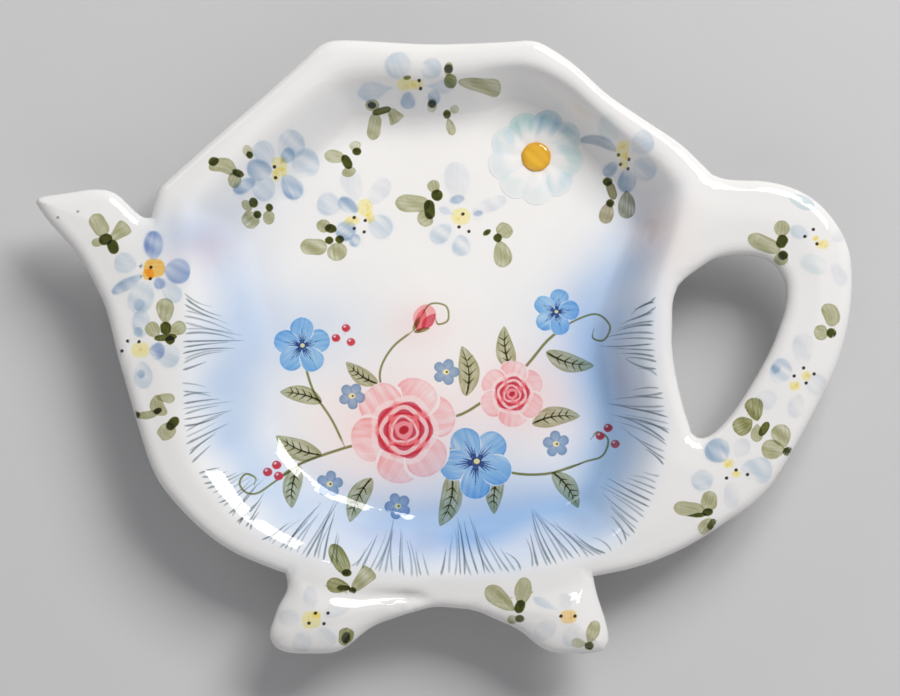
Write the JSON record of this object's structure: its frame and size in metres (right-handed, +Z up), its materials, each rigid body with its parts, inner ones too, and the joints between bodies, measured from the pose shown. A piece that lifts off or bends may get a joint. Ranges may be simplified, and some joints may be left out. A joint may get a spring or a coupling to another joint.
{
  "type": "tea bag rest",
  "caption": "Shallow glazed ceramic dish in the outline of a teapot, with spout, loop handle and feet, that holds a used tea bag beside a cup.",
  "frame": {"origin": "on the table, under the middle of the dish's whole outline", "axes": "+Z up out of the well, +X from spout to handle, +Y from the feet to the lid of the teapot outline"},
  "size_m": [0.1149, 0.0865, 0.0139],
  "materials": {
    "white_glaze": "glossy clear glaze over white earthenware",
    "bare_clay": "unglazed fired clay, wiped clean of glaze",
    "pale_blue_glaze": "glossy clear glaze over pale blue underglaze colour",
    "yellow_glaze": "glossy clear glaze over egg-yellow underglaze colour"
  },
  "bodies": {
    "root": {"dish_body": "white_glaze", "spout": "white_glaze", "handle": "white_glaze", "left_foot": "white_glaze", "right_foot": "white_glaze", "foot_ring": "bare_clay", "daisy_petals": "pale_blue_glaze", "daisy_button": "yellow_glaze"}
  },
  "joints": []
}
